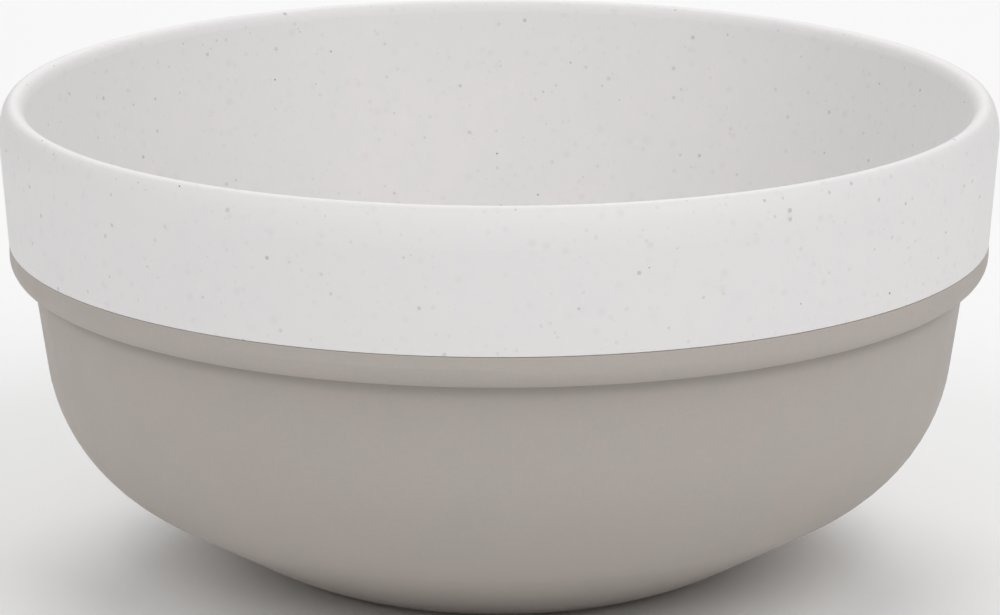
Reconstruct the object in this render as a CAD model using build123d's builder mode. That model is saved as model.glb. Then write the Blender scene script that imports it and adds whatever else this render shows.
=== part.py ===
from build123d import *

import os
from math import atan, cos, degrees, radians, sin, tan

# Chip and dip server, in millimetres.
# A taupe outer bowl carries a white serving bowl, and a small dip cup stands in the middle of it.
# Every piece is turned about +Z. The origin is the centre of the ring that the server stands on.
# Outlines are lists of ((radius, height), corner rounding), and the axis is at radius 0.

# Overall size
RIM_RADIUS = 125.0
HEIGHT = 120.0

# White band of the serving bowl, from its lower edge at the seam up to the rolled rim
BAND_HEIGHT = 35.3
BAND_TAPER = 1.9
BAND_EDGE_ROUND = 0.2
RIM_OUTSIDE_WIDTH = 3.2
RIM_OUTSIDE_DEPTH = 8.1
RIM_INSIDE_WIDTH = 3.2
RIM_INSIDE_DEPTH = 4.2
RIM_FLAT = 0.4

# Rolled bead around the top of the outer bowl, just under the seam
SEAM_GAP = 0.1
BEAD_SETBACK = 0.06
BEAD_HEIGHT = 8.4
BEAD_OVERHANG = 5.8
BEAD_ROUND = 5.4
BEAD_TOP_ROUND = 0.1
BEAD_CREASE_ROUND = 0.3

# Outside of the outer bowl: wall, round belly, flared underside and foot
WALL_LEAN = 8.0
BELLY_ROUND = 44.3
FLARE_ANGLE = 29.7
KNEE_RADIUS = 62.0
KNEE_ROUND = 92.0
FOOT_ANGLE = 21.1
FOOT_RADIUS = 54.9
FOOT_LIFT = 0.8
FOOT_EDGE_ROUND = 1.5

# Inside and underside of the outer bowl
OUTER_WALL = 3.8
OUTER_FLOOR = 6.8
OUTER_WELL_RADIUS = 38.0
OUTER_WELL_DEPTH = 1.2
OUTER_FLOOR_ROUND = 14.0

# Silicone ring let into the foot, which the server stands on
FOOT_RING_MIDDLE = 44.5
FOOT_RING_WIDTH = 5.0
FOOT_RING_SUNK = 2.0
FOOT_RING_ROUND = 0.7

# Lip of the outer bowl, hidden in the socket under the white band, and its silicone seat ring
LIP_HEIGHT = 5.1
LIP_ROUND = 0.5
SKIRT_WALL = 3.9
SOCKET_GAP = 0.6
SOCKET_ROUND = 0.5
SEAT_RING_WIDTH = 1.8
SEAT_RING_HEIGHT = 1.0
SEAT_RING_ROUND = 0.3

# Serving bowl below the band
NEST_GAP = 1.0
FLOOR_GAP = 3.0
SERVING_WALL = 3.6
SERVING_FLOOR = 6.0
SERVING_FLARE_WALL = 5.2
SERVING_BELLY_ROUND = 48.0
SERVING_FLOOR_ROUND = 30.0
SERVING_FOOT_LAND = 14.0
SERVING_FOOT_ROUND = 2.0
SERVING_WELL_DEPTH = 1.2

# Dip cup, and the low ring on the serving bowl's floor that keeps it in the middle
CUP_RADIUS = 50.0
CUP_HEIGHT = 46.0
CUP_WALL = 4.0
CUP_LEAN = 6.0
CUP_BELLY_ROUND = 18.0
CUP_FLARE_ANGLE = 30.0
CUP_FOOT_RADIUS = 31.0
CUP_FOOT_HEIGHT = 3.2
CUP_FOOT_LAND = 5.0
CUP_WELL_DEPTH = 1.2
CUP_FLOOR = 5.0
CUP_FLOOR_ROUND = 12.0
CUP_RIM_ROUND = 1.9
CUP_FIT = 0.8
KEEPER_WIDTH = 3.2
KEEPER_HEIGHT = 2.2
KEEPER_ROUND = 1.0

CORNER_ROUND = 0.6
WELL_ROUND = 1.0


def meet(point, angle, other_point, other_angle):
    """The crossing of two straight lines, each given by a point and a direction in degrees."""
    run = other_point[0] - point[0]
    rise = other_point[1] - point[1]
    first, second = radians(angle), radians(other_angle)
    along = (run * sin(second) - rise * cos(second)) / sin(second - first)
    return (point[0] + along * cos(first), point[1] + along * sin(first))


def inward(point, angle, depth):
    """The point moved by depth towards the inside of the bowl, square to the direction."""
    return (point[0] - depth * sin(radians(angle)), point[1] + depth * cos(radians(angle)))


def outline(corners, close=False):
    """Straight runs with rounded corners. An open outline keeps its two ends sharp."""
    points = [point for point, rounding in corners]
    roundings = [rounding for point, rounding in corners]
    return FilletPolyline(points, radius=roundings if close else roundings[1:-1], close=close)


# Heights and radii that the pieces share
seam = HEIGHT - BAND_HEIGHT
shoulder = seam - SEAM_GAP
band_foot = RIM_RADIUS - BAND_TAPER
bead_radius = band_foot - BEAD_SETBACK
bead_bottom = shoulder - BEAD_HEIGHT
socket_radius = band_foot - SKIRT_WALL
lip_radius = socket_radius - SOCKET_GAP
lip_top = shoulder + LIP_HEIGHT
socket_roof = lip_top + SEAT_RING_HEIGHT
outer_floor = FOOT_LIFT + OUTER_FLOOR
serving_foot = outer_floor + FLOOR_GAP
serving_floor = serving_foot + SERVING_FLOOR

# Outside lines of the outer bowl, which every deeper surface of both bowls follows
wall_angle = 90.0 - WALL_LEAN
wall_top = (bead_radius - BEAD_OVERHANG, bead_bottom)
knee = (KNEE_RADIUS, FOOT_LIFT + (KNEE_RADIUS - FOOT_RADIUS) * tan(radians(FOOT_ANGLE)))


def wall_at(depth, height):
    """Point of the wall line at a height, at a depth in from the outside."""
    return meet(inward(wall_top, wall_angle, depth), wall_angle, (0.0, height), 0.0)


def flare_at(depth, height):
    """Point of the flared underside's line at a height, at a depth in from the outside."""
    return meet(inward(knee, FLARE_ANGLE, depth), FLARE_ANGLE, (0.0, height), 0.0)


def belly_at(depth):
    """Corner between the flare and the wall, at a depth in from the outside."""
    return meet(inward(knee, FLARE_ANGLE, depth), FLARE_ANGLE, inward(wall_top, wall_angle, depth), wall_angle)


# Outer bowl
foot_ring_inside = FOOT_RING_MIDDLE - FOOT_RING_WIDTH / 2
foot_ring_outside = FOOT_RING_MIDDLE + FOOT_RING_WIDTH / 2
foot_ring_top = FOOT_LIFT + FOOT_RING_SUNK
outer_well = FOOT_LIFT + OUTER_WELL_DEPTH

with BuildPart() as outer_bowl:
    with BuildSketch(Plane.XZ):
        with BuildLine():
            outline(
                [
                    ((0.0, outer_well), 0.0),
                    ((OUTER_WELL_RADIUS, outer_well), WELL_ROUND),
                    ((OUTER_WELL_RADIUS + OUTER_WELL_DEPTH, FOOT_LIFT), CORNER_ROUND),
                    ((foot_ring_inside, FOOT_LIFT), 0.0),
                    ((foot_ring_inside, foot_ring_top), 0.0),
                    ((foot_ring_outside, foot_ring_top), 0.0),
                    ((foot_ring_outside, FOOT_LIFT), 0.0),
                    ((FOOT_RADIUS, FOOT_LIFT), FOOT_EDGE_ROUND),
                    (knee, KNEE_ROUND),
                    (belly_at(0.0), BELLY_ROUND),
                    (wall_top, BEAD_CREASE_ROUND),
                    ((bead_radius, bead_bottom), BEAD_ROUND),
                    ((bead_radius, shoulder), BEAD_TOP_ROUND),
                    ((lip_radius, shoulder), CORNER_ROUND),
                    ((lip_radius, lip_top), LIP_ROUND),
                    (wall_at(OUTER_WALL, lip_top), LIP_ROUND),
                    (belly_at(OUTER_WALL), BELLY_ROUND - OUTER_WALL),
                    (flare_at(OUTER_WALL, outer_floor), OUTER_FLOOR_ROUND),
                    ((0.0, outer_floor), 0.0),
                ],
                close=True,
            )
        make_face()
    revolve(axis=Axis.Z)

# Silicone foot ring, flush in its groove at the sides and standing proud below
with BuildPart() as foot_ring:
    with BuildSketch(Plane.XZ):
        with BuildLine():
            outline(
                [
                    ((foot_ring_inside, 0.0), FOOT_RING_ROUND),
                    ((foot_ring_outside, 0.0), FOOT_RING_ROUND),
                    ((foot_ring_outside, foot_ring_top), 0.0),
                    ((foot_ring_inside, foot_ring_top), 0.0),
                ],
                close=True,
            )
        make_face()
    revolve(axis=Axis.Z)

# Silicone seat ring, flat on the lip, which carries the serving bowl
lip_middle = (lip_radius + wall_at(OUTER_WALL, lip_top)[0]) / 2
seat_ring_inside = lip_middle - SEAT_RING_WIDTH / 2
seat_ring_outside = lip_middle + SEAT_RING_WIDTH / 2

with BuildPart() as seat_ring:
    with BuildSketch(Plane.XZ):
        with BuildLine():
            outline(
                [
                    ((seat_ring_inside, lip_top), SEAT_RING_ROUND),
                    ((seat_ring_outside, lip_top), SEAT_RING_ROUND),
                    ((seat_ring_outside, socket_roof), SEAT_RING_ROUND),
                    ((seat_ring_inside, socket_roof), SEAT_RING_ROUND),
                ],
                close=True,
            )
        make_face()
    revolve(axis=Axis.Z)

# Serving bowl. Its rim is two quarter ellipses, each run on until it lies along the wall below it.
nest = OUTER_WALL + NEST_GAP
serving_foot_edge = flare_at(nest, serving_foot)
serving_well_radius = serving_foot_edge[0] - SERVING_FOOT_LAND
serving_well = serving_foot + SERVING_WELL_DEPTH

rim_outside_centre = (RIM_RADIUS - RIM_OUTSIDE_WIDTH, HEIGHT - RIM_OUTSIDE_DEPTH)
band_slope = BAND_TAPER / (rim_outside_centre[1] - seam)
rim_outside_end = degrees(atan(band_slope * RIM_OUTSIDE_DEPTH / RIM_OUTSIDE_WIDTH))

rim_inside_centre = (rim_outside_centre[0] - RIM_FLAT, HEIGHT - RIM_INSIDE_DEPTH)
inside_at_seam = (wall_at(nest, seam)[0] - SERVING_WALL, seam)
inside_slope = (rim_inside_centre[0] - RIM_INSIDE_WIDTH - inside_at_seam[0]) / (rim_inside_centre[1] - seam)
rim_inside_end = degrees(atan(inside_slope * RIM_INSIDE_DEPTH / RIM_INSIDE_WIDTH))
inside_angle = 90.0 - degrees(atan(inside_slope))

inside_depth = nest + SERVING_FLARE_WALL
inside_belly = meet(inward(knee, FLARE_ANGLE, inside_depth), FLARE_ANGLE, inside_at_seam, inside_angle)

keeper_inside = CUP_FOOT_RADIUS + CUP_FIT
keeper_outside = keeper_inside + KEEPER_WIDTH
keeper_top = serving_floor + KEEPER_HEIGHT

with BuildPart() as serving_bowl:
    with BuildSketch(Plane.XZ):
        with BuildLine():
            rim_outside = EllipticalCenterArc(
                rim_outside_centre,
                RIM_OUTSIDE_WIDTH,
                RIM_OUTSIDE_DEPTH,
                start_angle=-rim_outside_end,
                arc_size=90.0 + rim_outside_end,
            )
            rim_inside = EllipticalCenterArc(
                rim_inside_centre,
                RIM_INSIDE_WIDTH,
                RIM_INSIDE_DEPTH,
                start_angle=90.0,
                arc_size=90.0 - rim_inside_end,
            )
            Line(rim_outside @ 1, rim_inside @ 0)
            underside = outline(
                [
                    ((0.0, serving_well), 0.0),
                    ((serving_well_radius, serving_well), WELL_ROUND),
                    ((serving_well_radius + SERVING_WELL_DEPTH, serving_foot), CORNER_ROUND),
                    (serving_foot_edge, SERVING_FOOT_ROUND),
                    (belly_at(nest), BELLY_ROUND - nest),
                    (wall_at(nest, socket_roof), SOCKET_ROUND),
                    ((socket_radius, socket_roof), SOCKET_ROUND),
                    ((socket_radius, seam), BAND_EDGE_ROUND),
                    ((band_foot, seam), BAND_EDGE_ROUND),
                    (tuple(rim_outside @ 0)[:2], 0.0),
                ]
            )
            inside = outline(
                [
                    (tuple(rim_inside @ 1)[:2], 0.0),
                    (inside_belly, SERVING_BELLY_ROUND),
                    (flare_at(inside_depth, serving_floor), SERVING_FLOOR_ROUND),
                    ((keeper_outside, serving_floor), KEEPER_ROUND),
                    ((keeper_outside, keeper_top), KEEPER_ROUND),
                    ((keeper_inside, keeper_top), KEEPER_ROUND),
                    ((keeper_inside, serving_floor), KEEPER_ROUND),
                    ((0.0, serving_floor), 0.0),
                ]
            )
            Line(inside @ 1, underside @ 0)
        make_face()
    revolve(axis=Axis.Z)

# Dip cup, standing on the serving bowl's floor inside the keeper ring
cup_rim = serving_floor + CUP_HEIGHT
cup_angle = 90.0 - CUP_LEAN
cup_foot_top = (CUP_FOOT_RADIUS, serving_floor + CUP_FOOT_HEIGHT)
cup_floor = serving_floor + CUP_FLOOR
cup_well = serving_floor + CUP_WELL_DEPTH
cup_lip = (CUP_RADIUS, cup_rim)
cup_lip_inside = meet(inward(cup_lip, cup_angle, CUP_WALL), cup_angle, cup_lip, 0.0)
cup_flare_inside = inward(cup_foot_top, CUP_FLARE_ANGLE, CUP_WALL)

with BuildPart() as dip_cup:
    with BuildSketch(Plane.XZ):
        with BuildLine():
            outline(
                [
                    ((0.0, cup_well), 0.0),
                    ((CUP_FOOT_RADIUS - CUP_FOOT_LAND, cup_well), CORNER_ROUND),
                    ((CUP_FOOT_RADIUS - CUP_FOOT_LAND + CUP_WELL_DEPTH, serving_floor), CORNER_ROUND),
                    ((CUP_FOOT_RADIUS, serving_floor), CORNER_ROUND),
                    (cup_foot_top, CORNER_ROUND),
                    (meet(cup_foot_top, CUP_FLARE_ANGLE, cup_lip, cup_angle), CUP_BELLY_ROUND),
                    (cup_lip, CUP_RIM_ROUND),
                    (cup_lip_inside, CUP_RIM_ROUND),
                    (
                        meet(cup_flare_inside, CUP_FLARE_ANGLE, cup_lip_inside, cup_angle),
                        CUP_BELLY_ROUND - CUP_WALL,
                    ),
                    (meet(cup_flare_inside, CUP_FLARE_ANGLE, (0.0, cup_floor), 0.0), CUP_FLOOR_ROUND),
                    ((0.0, cup_floor), 0.0),
                ],
                close=True,
            )
        make_face()
    revolve(axis=Axis.Z)

outer_bowl.part.label = "outer_bowl"
foot_ring.part.label = "foot_ring"
seat_ring.part.label = "seat_ring"
serving_bowl.part.label = "serving_bowl"
dip_cup.part.label = "dip_cup"

os.makedirs("parts", exist_ok=True)
export_step(outer_bowl.part, "parts/outer_bowl.step")
export_step(foot_ring.part, "parts/foot_ring.step")
export_step(seat_ring.part, "parts/seat_ring.step")
export_step(serving_bowl.part, "parts/serving_bowl.step")
export_step(dip_cup.part, "parts/dip_cup.step")
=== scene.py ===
from math import cos, radians, sin

import bpy
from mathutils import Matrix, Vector


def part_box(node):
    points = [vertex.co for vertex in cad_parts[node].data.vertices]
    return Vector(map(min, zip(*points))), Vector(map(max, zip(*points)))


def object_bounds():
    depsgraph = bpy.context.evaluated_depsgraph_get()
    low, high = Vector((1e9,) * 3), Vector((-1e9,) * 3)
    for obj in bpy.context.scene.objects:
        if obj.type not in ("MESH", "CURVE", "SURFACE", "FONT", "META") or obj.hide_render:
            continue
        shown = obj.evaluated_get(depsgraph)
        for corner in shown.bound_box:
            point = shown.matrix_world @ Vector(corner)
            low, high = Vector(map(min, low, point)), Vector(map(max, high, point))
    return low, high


# Chip and dip server: a taupe stoneware bowl carries a speckled white serving bowl, and a white
# dip cup stands inside. Every piece is a CAD node with its own procedural material.
# Lengths are in metres. MM turns millimetres into metres.

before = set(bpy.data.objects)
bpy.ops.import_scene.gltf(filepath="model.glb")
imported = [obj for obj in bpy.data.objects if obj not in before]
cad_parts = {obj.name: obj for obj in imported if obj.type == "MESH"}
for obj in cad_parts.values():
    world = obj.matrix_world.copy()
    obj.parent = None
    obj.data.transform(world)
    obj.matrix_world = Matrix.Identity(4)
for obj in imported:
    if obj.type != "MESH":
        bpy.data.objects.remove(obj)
cad_low, cad_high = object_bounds()

MM = 0.001

# Crease under the rolled bead, measured down from the rim: the white band, then the bead
BAND_HEIGHT = 35.3 * MM
BEAD_HEIGHT = 8.5 * MM
BEAD_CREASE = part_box("serving_bowl")[1].z - BAND_HEIGHT - BEAD_HEIGHT

# Camera in front of the server and a little above it
CAMERA_BACK = 1.272
CAMERA_ABOVE_RIM = 0.2743
CAMERA_TILT = 75.47
CAMERA_LENS = 186.87
CAMERA_SHIFT = 0.00095
CAMERA_FAR = 60.0

# Studio: an even white surround and three big round soft lights, all aimed at the server.
# Each light has an azimuth, 0 in front of the server and 90 on its right, and its watts.
SURROUND = 0.450
LIGHT_DISTANCE = 2.2
LIGHT_SIZE = 1.6
LIGHT_ELEVATION = 45.0
LIGHT_AIM = 0.08
LIGHTS = {
    "key_light": (45.0, 15.1),
    "fill_light": (-45.0, 10.2),
    "back_light": (180.0, 17.0),
}
FLOOR_SIZE = 40.0

# Glaze, clay and silicone colours, linear
WHITE_GLAZE = (0.840, 0.822, 0.812)
WHITE_GLAZE_COOL = (0.818, 0.804, 0.808)
TAUPE_GLAZE = (0.466, 0.430, 0.402)
TAUPE_GLAZE_WARM = (0.478, 0.430, 0.394)
TAUPE_GLAZE_DEEP = (0.255, 0.228, 0.206)
SPECK_BROWN = (0.200, 0.178, 0.155)
SPECK_DARK = (0.070, 0.062, 0.054)
BARE_CLAY = (0.520, 0.440, 0.350)
SEAT_SILICONE = (0.620, 0.615, 0.600)
FOOT_SILICONE = (0.160, 0.155, 0.150)
DUST = (0.700, 0.690, 0.670)
FLOOR_WHITE = (0.950, 0.950, 0.950)

# Roughness, from the smoothest patches to the dullest, and the glazes' specular level
WHITE_ROUGHNESS = (0.50, 0.60)
TAUPE_ROUGHNESS = (0.54, 0.64)
SILICONE_ROUGHNESS = (0.58, 0.72)
FLOOR_ROUGHNESS = (0.55, 0.65)
MATTE_GLOSS = 0.3

# Clouds in the glazes: the size of the largest, then each finer size as a part of it, and weights
WHITE_CLOUD = 38 * MM
TAUPE_CLOUD = 26 * MM
CLOUD_LAYERS = ((1, 0.4), (5, 0.3), (14, 0.3))
CLOUD_EDGES = (0.35, 0.65)

# Range that most of a noise pattern lies in
NOISE_LOW = 0.3
NOISE_HIGH = 0.7

# Dots strewn through the clay and glazes: their spacing, their smallest and largest radius, an
# offset that sets each pattern apart from the others, and how much of a dot is its full core
STAINS = {"spacing": 4.0 * MM, "smallest": 0.8 * MM, "largest": 1.8 * MM, "offset": 3.1, "core": 0.1}
SPECKS = {"spacing": 2.5 * MM, "smallest": 0.40 * MM, "largest": 0.78 * MM, "offset": 5.3}
POINTS = {"spacing": 9.0 * MM, "smallest": 0.20 * MM, "largest": 0.42 * MM, "offset": 7.7}
PORES = {"spacing": 3.0 * MM, "smallest": 0.08 * MM, "largest": 0.2 * MM, "offset": 6.1}
GROG = {"spacing": 1.6 * MM, "smallest": 0.1 * MM, "largest": 0.35 * MM, "offset": 13.0}
DUST_GRAINS = {"spacing": 1.8 * MM, "smallest": 0.05 * MM, "largest": 0.16 * MM, "offset": 1.9}

# How strongly each kind of dot tints what it lies on
STAIN_TINT = 0.08
SPECK_TINT = 0.07
STRONG_SPECK_TINT = 0.34
STRONG_SPECK_RARITY = 14.0
POINT_TINT_LEAST = 0.1
POINT_TINT_MOST = 0.8
PORE_TINT = 0.3
GROG_TINT = 0.35
DUST_TINT = 0.5
CUP_SPECK_STRENGTH = 0.8

# Bare clay at the foot: how far up the glaze stops, and how softly
CLAY_EDGE_LOW = 0.25 * MM
CLAY_EDGE_HIGH = 0.75 * MM
CLAY_EDGE_SOFT = 0.2 * MM

# Painted shade on the wall under the bead, darkest at the crease
CREASE_SHADE_DEPTH = 4 * MM
CREASE_SHADE_EDGE = 0.2 * MM
CREASE_SHADE_TINT = 0.45
GRAIN_TINT = 0.05

# Silicone rings
BLOOM_TINT = 0.10
PARTING_LINE = 0.15 * MM

# Depth of the relief in each kind of skin
GLAZE_RELIEF = 0.02 * MM
SILICONE_RELIEF = 0.04 * MM


# ---------------------------------------------------------------- node graph
class Surface:
    """A material's Principled shader, and short calls that build the nodes around it."""

    def __init__(self, name):
        self.material = bpy.data.materials.new(name)
        self.material.use_nodes = True
        self.tree = self.material.node_tree
        self.shader = self.tree.nodes["Principled BSDF"]
        self.place = self.add("ShaderNodeTexCoord").outputs["Object"]
        axes = self.add("ShaderNodeSeparateXYZ")
        self.feed(axes.inputs[0], self.place)
        self.height = axes.outputs["Z"]

    def add(self, kind, **settings):
        node = self.tree.nodes.new(kind)
        for name, value in settings.items():
            setattr(node, name, value)
        return node

    def feed(self, socket, value):
        """Links another node's output to the socket, or sets the socket's own value."""
        if isinstance(value, bpy.types.NodeSocket):
            self.tree.links.new(value, socket)
        elif isinstance(value, tuple) and len(value) == 3 and socket.type == "RGBA":
            socket.default_value = (*value, 1.0)
        else:
            socket.default_value = value

    def finish(self, **values):
        """Feeds the shader's own sockets. An underscore stands for a space in a socket's name."""
        for name, value in values.items():
            self.feed(self.shader.inputs[name.replace("_", " ")], value)
        return self.material

    def calculate(self, operation, first, second):
        node = self.add("ShaderNodeMath", operation=operation)
        self.feed(node.inputs[0], first)
        self.feed(node.inputs[1], second)
        return node.outputs[0]

    def times(self, first, second):
        return self.calculate("MULTIPLY", first, second)

    def span(self, value, low, high, at_low=0.0, at_high=1.0, smooth=True):
        """Maps low..high to at_low..at_high and holds the ends."""
        node = self.add("ShaderNodeMapRange")
        node.interpolation_type = "SMOOTHSTEP" if smooth else "LINEAR"
        for socket, given in zip(node.inputs[:5], (value, low, high, at_low, at_high)):
            self.feed(socket, given)
        return node.outputs[0]

    def mix(self, amount, colour, other):
        node = self.add("ShaderNodeMix", data_type="RGBA")
        self.feed(node.inputs[0], amount)
        self.feed(node.inputs[6], colour)
        self.feed(node.inputs[7], other)
        return node.outputs[2]

    def moved(self, offset):
        """The place, shifted, so that two patterns of one size don't repeat each other."""
        node = self.add("ShaderNodeVectorMath", operation="ADD")
        self.feed(node.inputs[0], self.place)
        self.feed(node.inputs[1], (offset, -2 * offset, 3 * offset))
        return node.outputs[0]

    def noise(self, size, offset, detail=3.0):
        """Smooth noise around 0.5, with lumps of the given size."""
        node = self.add("ShaderNodeTexNoise")
        self.feed(node.inputs["Vector"], self.moved(offset))
        node.inputs["Scale"].default_value = 1.0 / size
        node.inputs["Detail"].default_value = detail
        return node.outputs["Factor"] if "Factor" in node.outputs else node.outputs["Fac"]

    def patches(self, size, offset, least, most, detail=3.0):
        """Noise stretched over least..most."""
        return self.span(self.noise(size, offset, detail), NOISE_LOW, NOISE_HIGH, least, most)

    def dots(self, spacing, smallest, largest, offset, core=0.5):
        """Dots of random size strewn through space. Gives their mask and a random value for each."""
        cells = self.add("ShaderNodeTexVoronoi", voronoi_dimensions="3D", feature="F1")
        self.feed(cells.inputs["Vector"], self.moved(offset))
        cells.inputs["Scale"].default_value = 1.0 / spacing
        chance = self.add("ShaderNodeSeparateColor")
        self.feed(chance.inputs[0], cells.outputs["Color"])
        edge = self.span(chance.outputs[0], 0.0, 1.0, smallest / spacing, largest / spacing, smooth=False)
        mask = self.span(cells.outputs["Distance"], self.times(edge, core), edge, 1.0, 0.0)
        return mask, chance.outputs[1]

    def relief(self, height, depth):
        """Bumps the surface by a pattern of the given depth."""
        node = self.add("ShaderNodeBump")
        node.inputs["Distance"].default_value = depth
        self.feed(node.inputs["Height"], height)
        return node.outputs[0]

    def total(self, *parts):
        """Adds patterns, each given as (pattern, weight)."""
        result = None
        for pattern, weight in parts:
            weighted = self.times(pattern, weight)
            result = weighted if result is None else self.calculate("ADD", result, weighted)
        return result


# ---------------------------------------------------------------- materials
def mottled(surface, colour, other, size, offset):
    """Two glaze tones, clouded into each other, with finer clouds inside."""
    layers = []
    for step, (finer, weight) in enumerate(CLOUD_LAYERS):
        noise = surface.noise(size / finer, offset + step)
        layers.append((surface.span(noise, *CLOUD_EDGES), weight))
    return surface.mix(surface.total(*layers), colour, other)


def speckled(surface, colour, strength):
    """Iron specks in the glaze: blurred stains, faint specks with a few strong ones, rare pinpoints."""
    stains, stain_chance = surface.dots(**STAINS)
    specks, speck_chance = surface.dots(**SPECKS)
    points, point_chance = surface.dots(**POINTS)
    strong = surface.calculate("POWER", speck_chance, STRONG_SPECK_RARITY)
    stain_tint = surface.times(stain_chance, STAIN_TINT * strength)
    speck_tint = surface.total((speck_chance, SPECK_TINT * strength), (strong, STRONG_SPECK_TINT * strength))
    point_tint = surface.span(point_chance, 0.0, 1.0, POINT_TINT_LEAST, POINT_TINT_MOST * strength)
    speck = surface.times(specks, speck_tint)
    point = surface.times(points, point_tint)
    colour = surface.mix(surface.times(stains, stain_tint), colour, SPECK_BROWN)
    colour = surface.mix(speck, colour, SPECK_BROWN)
    colour = surface.mix(point, colour, SPECK_DARK)
    return colour, speck, point


def bare_foot(surface, colour, foot):
    """Unglazed clay on the ring that the piece was fired on. Gives the colour and the clay's mask."""
    wobble = surface.patches(6 * MM, 11.0, CLAY_EDGE_LOW, CLAY_EDGE_HIGH)
    edge = surface.calculate("ADD", wobble, foot)
    soft_edge = surface.calculate("ADD", edge, CLAY_EDGE_SOFT)
    clay = surface.span(surface.height, edge, soft_edge, 1.0, 0.0)
    grog = surface.dots(**GROG)[0]
    grains = surface.mix(surface.times(grog, GROG_TINT), BARE_CLAY, SPECK_BROWN)
    return surface.mix(clay, colour, grains), clay


def white_glaze(name, foot, strength):
    """Soft matte white glaze over stoneware, with iron specks."""
    surface = Surface(name)
    colour = mottled(surface, WHITE_GLAZE, WHITE_GLAZE_COOL, WHITE_CLOUD, 0.7)
    colour, speck, point = speckled(surface, colour, strength)
    colour, clay = bare_foot(surface, colour, foot)

    sheen = surface.patches(14 * MM, 2.2, *WHITE_ROUGHNESS)
    dulled = surface.total((sheen, 1.0), (speck, 0.2), (point, 0.2), (clay, 0.3))

    orange_peel = surface.noise(3.2 * MM, 4.0, detail=1.0)
    clay_grain = surface.noise(0.5 * MM, 4.4, detail=2.0)
    height = surface.total((orange_peel, 0.5), (point, 0.5), (speck, 0.5), (clay_grain, 0.08))
    normal = surface.relief(height, GLAZE_RELIEF)
    return surface.finish(Base_Color=colour, Roughness=dulled, Specular_IOR_Level=MATTE_GLOSS, Normal=normal)


def taupe_glaze(name, foot, crease):
    """Matte taupe glaze, clouded, with fine pores, and painted shade in the crease under the bead."""
    surface = Surface(name)
    colour = mottled(surface, TAUPE_GLAZE, TAUPE_GLAZE_WARM, TAUPE_CLOUD, 1.3)
    grain = surface.patches(0.9 * MM, 2.9, 0.0, GRAIN_TINT, detail=2.0)
    colour = surface.mix(grain, colour, TAUPE_GLAZE_DEEP)
    pores, pore_chance = surface.dots(**PORES)
    pore = surface.times(pores, surface.span(pore_chance, 0.0, 1.0, 0.0, PORE_TINT))
    colour = surface.mix(pore, colour, TAUPE_GLAZE_DEEP)

    # Painted shade: the wall just under the bead is darkened towards the crease, where the bead shades it
    below = surface.span(surface.height, crease - CREASE_SHADE_DEPTH, crease, 0.0, CREASE_SHADE_TINT)
    above = surface.span(surface.height, crease, crease + CREASE_SHADE_EDGE, 1.0, 0.0)
    colour = surface.mix(surface.times(below, above), colour, TAUPE_GLAZE_DEEP)
    colour, clay = bare_foot(surface, colour, foot)

    sheen = surface.patches(11 * MM, 3.7, *TAUPE_ROUGHNESS)
    dulled = surface.total((sheen, 1.0), (pore, 0.3), (clay, 0.3))

    skin = surface.noise(0.6 * MM, 5.2, detail=2.0)
    waves = surface.noise(5 * MM, 5.9, detail=1.0)
    height = surface.total((skin, 0.3), (waves, 0.6), (pore, -0.8))
    normal = surface.relief(height, GLAZE_RELIEF)
    return surface.finish(Base_Color=colour, Roughness=dulled, Specular_IOR_Level=MATTE_GLOSS, Normal=normal)


def silicone(name, colour, low, high):
    """Moulded matte silicone, with a faint parting line at its middle height and a little dust."""
    surface = Surface(name)
    bloom = surface.patches(7 * MM, 0.3, 0.0, BLOOM_TINT)
    tone = surface.mix(bloom, colour, DUST)
    dust = surface.dots(**DUST_GRAINS)[0]
    tone = surface.mix(surface.times(dust, DUST_TINT), tone, DUST)
    dull = surface.patches(3 * MM, 2.7, *SILICONE_ROUGHNESS)

    middle = (low + high) / 2
    rising = surface.span(surface.height, middle - PARTING_LINE, middle)
    falling = surface.span(surface.height, middle, middle + PARTING_LINE, 1.0, 0.0)
    skin = surface.noise(0.35 * MM, 3.3, detail=2.0)
    height = surface.total((surface.times(rising, falling), 1.0), (skin, 0.3))
    normal = surface.relief(height, SILICONE_RELIEF)
    return surface.finish(Base_Color=tone, Roughness=dull, Normal=normal)


def floor_paint():
    """Plain white studio floor with a very fine grain."""
    surface = Surface("floor_paint")
    dull = surface.patches(4 * MM, 0.0, *FLOOR_ROUGHNESS, detail=2.0)
    return surface.finish(Base_Color=FLOOR_WHITE, Roughness=dull)


def paint(node, material):
    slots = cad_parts[node].data.materials
    slots.clear()
    slots.append(material)


def floor_of(node):
    """Height of the lowest point of a CAD node."""
    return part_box(node)[0].z


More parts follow.
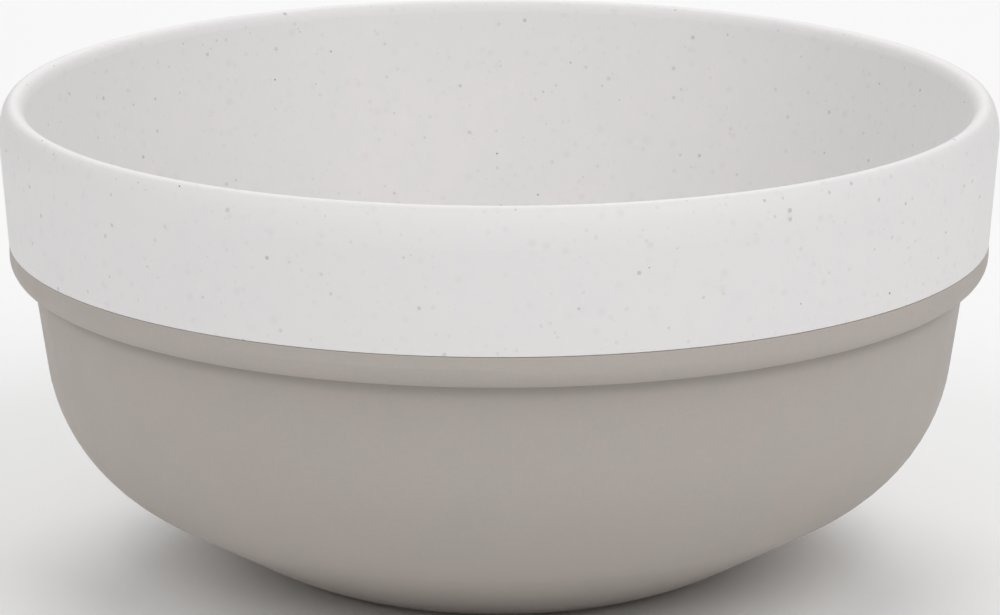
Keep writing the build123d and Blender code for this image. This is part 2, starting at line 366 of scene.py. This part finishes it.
paint("serving_bowl", white_glaze("speckled_glaze", floor_of("serving_bowl"), 1.0))
paint("dip_cup", white_glaze("cup_glaze", floor_of("dip_cup"), CUP_SPECK_STRENGTH))
paint("outer_bowl", taupe_glaze("taupe_glaze", floor_of("outer_bowl"), BEAD_CREASE))
for ring, ring_colour in (("seat_ring", SEAT_SILICONE), ("foot_ring", FOOT_SILICONE)):
    ring_low, ring_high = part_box(ring)
    paint(ring, silicone(ring + "_silicone", ring_colour, ring_low.z, ring_high.z))


# ---------------------------------------------------------------- studio
def make_floor():
    bpy.ops.mesh.primitive_plane_add(size=FLOOR_SIZE, location=(0, 0, cad_low.z))
    floor = bpy.context.object
    floor.name = "floor"
    floor.data.materials.append(floor_paint())


def make_camera():
    data = bpy.data.cameras.new("camera")
    camera = bpy.data.objects.new("camera", data)
    bpy.context.scene.collection.objects.link(camera)
    camera.location = (0, -CAMERA_BACK, cad_high.z + CAMERA_ABOVE_RIM)
    camera.rotation_euler = (radians(CAMERA_TILT), 0, 0)
    data.lens = CAMERA_LENS
    data.shift_x = CAMERA_SHIFT
    data.clip_end = CAMERA_FAR
    bpy.context.scene.camera = camera


def make_light(name, azimuth, watts):
    data = bpy.data.lights.new(name, "AREA")
    data.shape = "DISK"
    data.size = LIGHT_SIZE
    data.energy = watts
    light = bpy.data.objects.new(name, data)
    bpy.context.scene.collection.objects.link(light)
    turn = radians(azimuth)
    lift = radians(LIGHT_ELEVATION)
    away = Vector((sin(turn) * cos(lift), -cos(turn) * cos(lift), sin(lift)))
    light.location = Vector((0, 0, LIGHT_AIM)) + away * LIGHT_DISTANCE
    light.rotation_euler = away.to_track_quat("Z", "Y").to_euler()
    light.visible_camera = False


def make_surround():
    world = bpy.data.worlds.new("studio")
    world.use_nodes = True
    background = world.node_tree.nodes["Background"]
    background.inputs["Color"].default_value = (1, 1, 1, 1)
    background.inputs["Strength"].default_value = SURROUND
    bpy.context.scene.world = world


make_floor()
make_camera()
make_surround()
for light_name, (light_azimuth, light_watts) in LIGHTS.items():
    make_light(light_name, light_azimuth, light_watts)
bpy.context.scene.view_settings.view_transform = "Standard"
